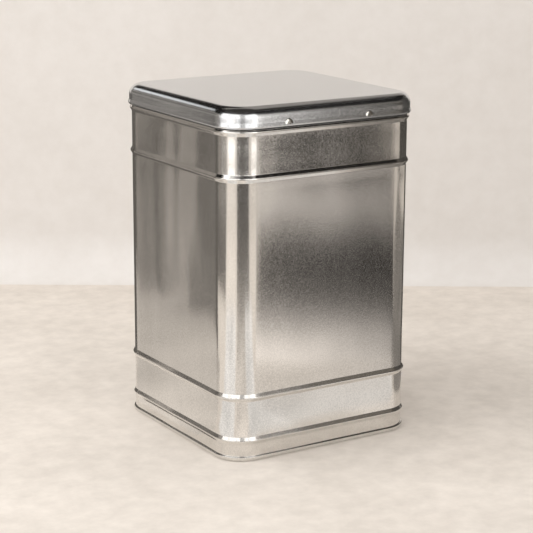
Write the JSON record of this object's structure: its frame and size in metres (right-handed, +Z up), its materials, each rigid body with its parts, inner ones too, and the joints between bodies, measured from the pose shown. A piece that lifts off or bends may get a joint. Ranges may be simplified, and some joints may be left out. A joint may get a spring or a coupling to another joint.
{
  "type": "square storage tin",
  "caption": "Upright square storage tin in bare satin tinplate, with rounded corners, rolled beads, a rolled base seam and a shut hinged lid.",
  "frame": {"origin": "centre of the base, on the surface that the tin stands on", "axes": "+Z up through the lid; -Y is the face that carries the hinge pips; X along that face"},
  "size_m": [0.1136, 0.1136, 0.176],
  "materials": {
    "wall_tinplate": "satin",
    "lid_tinplate": "satin",
    "base_tinplate": "satin",
    "polished_pip": "polished"
  },
  "bodies": {
    "root": {"body": "wall_tinplate", "lid": "lid_tinplate", "base": "base_tinplate", "hinge_pip_left": "polished_pip", "hinge_pip_right": "polished_pip"}
  },
  "joints": []
}
